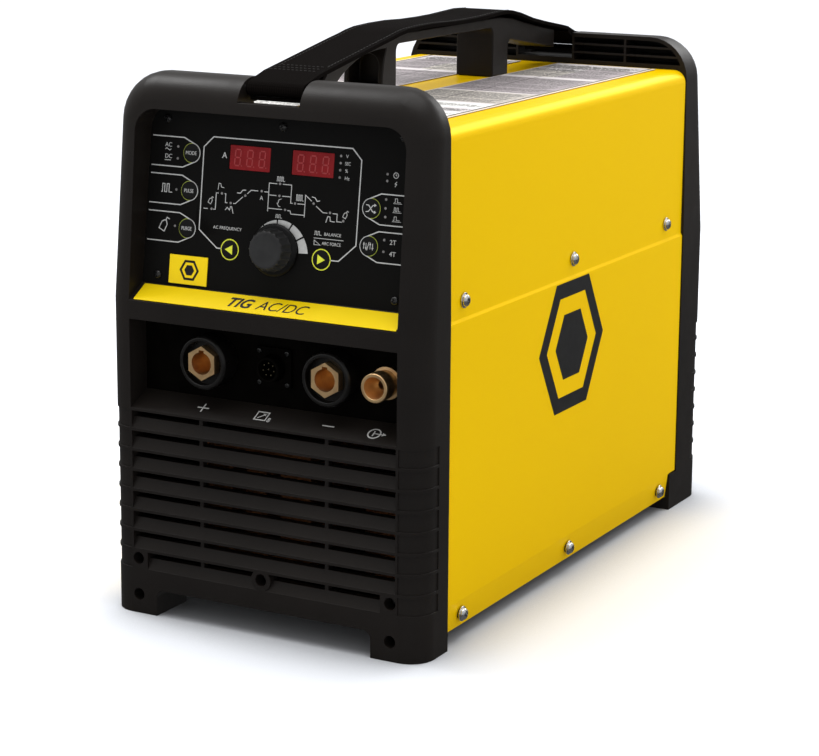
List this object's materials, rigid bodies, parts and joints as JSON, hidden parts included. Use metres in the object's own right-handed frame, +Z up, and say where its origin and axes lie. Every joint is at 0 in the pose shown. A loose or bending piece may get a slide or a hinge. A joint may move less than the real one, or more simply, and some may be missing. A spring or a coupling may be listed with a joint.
{
  "type": "tig welding machine",
  "caption": "Boxy portable TIG welding power source with sheet cover, moulded end bezels with louvres, sloping control panel, twist-lock sockets and a strapped carrying handle.",
  "frame": {"origin": "on the floor under the middle of the machine", "axes": "+Z up, -Y out of the front with the control panel, +X to the right of someone facing the front"},
  "size_m": [0.2134, 0.405, 0.3374],
  "materials": {
    "moulding": "fine textured warm charcoal moulding, satin",
    "cover": "gloss yellow powder coat on sheet steel",
    "tray": "satin dark paint on sheet steel",
    "panel": "printed polyester overlay, satin black",
    "lens": "red tinted display window",
    "accent": "yellow film",
    "knob": "grey black soft satin",
    "button": "domed black key",
    "plastic": "black glass-filled nylon",
    "brass": "machined copper-coloured brass",
    "steel": "bright zinc plate",
    "label": "printed vinyl",
    "strap": "woven polyester webbing",
    "aluminium": "extruded, as cut",
    "board": "green glass-epoxy circuit board",
    "copper": "varnished copper winding"
  },
  "bodies": {
    "machine": {"front_bezel": "moulding", "rear_bezel": "moulding", "handle": "moulding", "cover": "cover", "base_tray": "tray", "rear_panel": "tray", "control_panel": "panel", "display_window_left": "lens", "display_window_right": "lens", "accent_strip": "accent", "badge_plate": "accent", "connector_plate": "plastic", "positive_socket_collar": "plastic", "negative_socket_collar": "plastic", "remote_socket_flange": "plastic", "remote_socket_barrel": "plastic", "mains_switch_body": "plastic", "cable_gland": "plastic", "fan_frame": "plastic", "positive_socket_insert": "brass", "negative_socket_insert": "brass", "gas_outlet": "brass", "gas_inlet": "brass", "gas_valve": "brass", "encoder": "steel", "front_strap_bar": "steel", "rear_strap_bar": "steel", "cover_screw_upper_left_1": "steel", "cover_screw_upper_left_2": "steel", "cover_screw_upper_left_3": "steel", "cover_screw_upper_right_1": "steel", "cover_screw_upper_right_2": "steel", "cover_screw_upper_right_3": "steel", "cover_screw_lower_left_1": "steel", "cover_screw_lower_left_2": "steel", "cover_screw_lower_left_3": "steel", "cover_screw_lower_right_1": "steel", "cover_screw_lower_right_2": "steel", "cover_screw_lower_right_3": "steel", "instruction_label_left": "label", "instruction_label_right": "label", "rating_label": "label", "strap": "strap", "heatsink": "aluminium", "control_board": "board", "power_board": "board", "transformer": "copper", "output_choke": "copper"},
    "button_mode_body": {"button_mode": "button"},
    "button_pulse_body": {"button_pulse": "button"},
    "button_purge_body": {"button_purge": "button"},
    "button_previous_body": {"button_previous": "button"},
    "button_next_body": {"button_next": "button"},
    "button_process_body": {"button_process": "button"},
    "button_trigger_body": {"button_trigger": "button"},
    "knob_body": {"control_knob": "knob"},
    "fan_body": {"fan_rotor": "plastic"},
    "mains_lever_body": {"mains_switch_lever": "accent"}
  },
  "joints": [
    {"name": "button_mode_press", "type": "slide", "parent": "machine", "child": "button_mode_body", "axis": [0, 0.991, -0.134], "range_m": [0, 0.0006], "stiffness_N_per_m": 1000},
    {"name": "button_pulse_press", "type": "slide", "parent": "machine", "child": "button_pulse_body", "axis": [0, 0.991, -0.134], "range_m": [0, 0.0006], "stiffness_N_per_m": 1000},
    {"name": "button_purge_press", "type": "slide", "parent": "machine", "child": "button_purge_body", "axis": [0, 0.991, -0.134], "range_m": [0, 0.0006], "stiffness_N_per_m": 1000},
    {"name": "button_previous_press", "type": "slide", "parent": "machine", "child": "button_previous_body", "axis": [0, 0.991, -0.134], "range_m": [0, 0.0006], "stiffness_N_per_m": 1000},
    {"name": "button_next_press", "type": "slide", "parent": "machine", "child": "button_next_body", "axis": [0, 0.991, -0.134], "range_m": [0, 0.0006], "stiffness_N_per_m": 1000},
    {"name": "button_process_press", "type": "slide", "parent": "machine", "child": "button_process_body", "axis": [0, 0.991, -0.134], "range_m": [0, 0.0006], "stiffness_N_per_m": 1000},
    {"name": "button_trigger_press", "type": "slide", "parent": "machine", "child": "button_trigger_body", "axis": [0, 0.991, -0.134], "range_m": [0, 0.0006], "stiffness_N_per_m": 1000},
    {"name": "knob_turn", "type": "hinge", "parent": "machine", "child": "knob_body", "pos_m": [0, -0.18484, 0.22136], "axis": [0, -0.991, 0.134], "continuous": true},
    {"name": "fan_spin", "type": "hinge", "parent": "machine", "child": "fan_body", "pos_m": [0, 0.168, 0.073], "axis": [0, 1, 0], "continuous": true},
    {"name": "mains_lever_turn", "type": "hinge", "parent": "machine", "child": "mains_lever_body", "pos_m": [0.052, 0.1822, 0.245], "axis": [0, -1, 0], "range_deg": [0, 90]}
  ]
}
